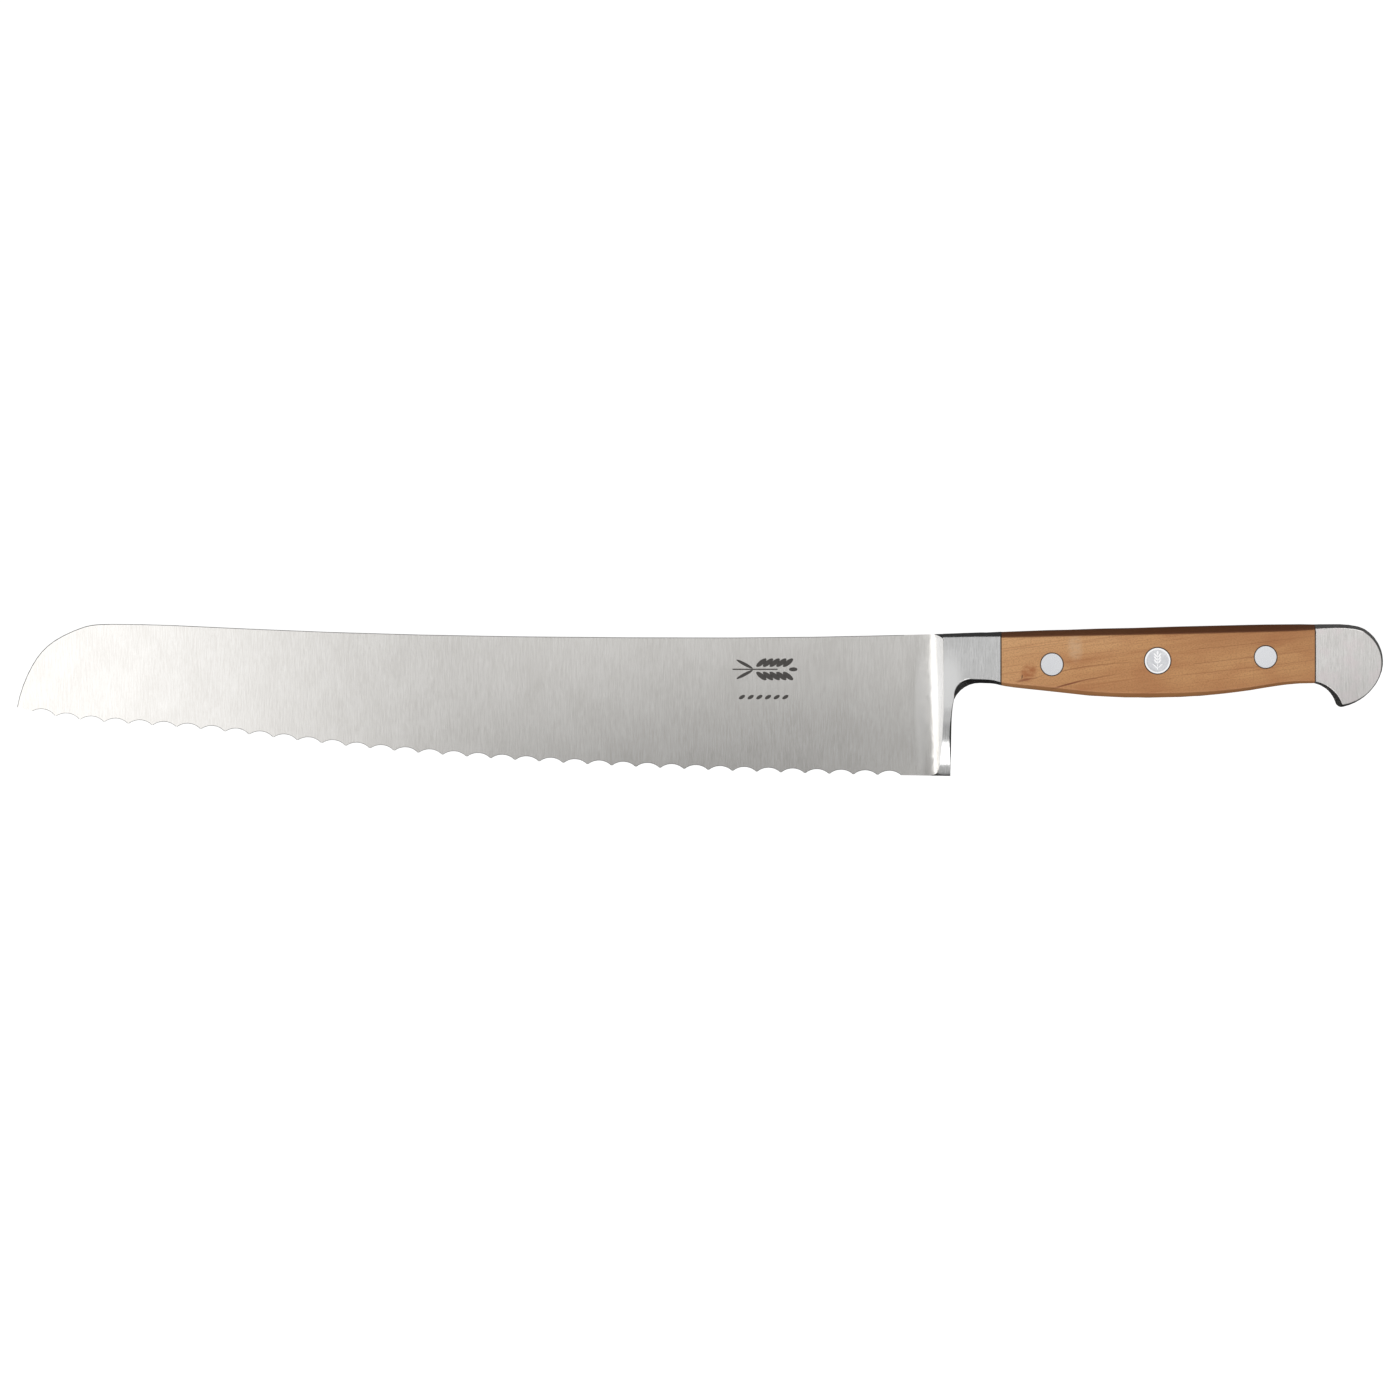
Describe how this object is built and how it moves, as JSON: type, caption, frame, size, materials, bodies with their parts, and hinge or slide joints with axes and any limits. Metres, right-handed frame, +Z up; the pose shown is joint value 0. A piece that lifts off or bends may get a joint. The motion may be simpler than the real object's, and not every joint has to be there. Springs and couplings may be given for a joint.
{
  "type": "bread knife",
  "caption": "Long forged bread knife: scalloped blade rising to a rounded nose, full bolster, wooden scales riveted to a full tang, hooked steel pommel.",
  "frame": {"origin": "on the resting surface, under the middle of the knife's box, with the knife lying on the right flat of its handle", "axes": "+X along the knife from tip to pommel, +Y from cutting edge to spine, +Z up, out of the left side of the blade"},
  "size_m": [0.472, 0.0524, 0.018],
  "materials": {
    "forged_steel": "satin ground stainless, brush lines from spine to edge, polished flare and pommel edges",
    "pear_wood": "oiled light red-brown fruit wood, fine straight grain along the handle",
    "rivet_metal": "fine satin, flush",
    "medallion_metal": "fine satin with a plain ear of wheat in relief",
    "etched_mark": null
  },
  "bodies": {
    "root": {"blade_forging": "forged_steel", "left_scale": "pear_wood", "right_scale": "pear_wood", "front_rivet_barrel": "rivet_metal", "front_rivet_pin": "rivet_metal", "middle_rivet_barrel": "rivet_metal", "middle_rivet_pin": "medallion_metal", "rear_rivet_barrel": "rivet_metal", "rear_rivet_pin": "rivet_metal"}
  },
  "joints": []
}
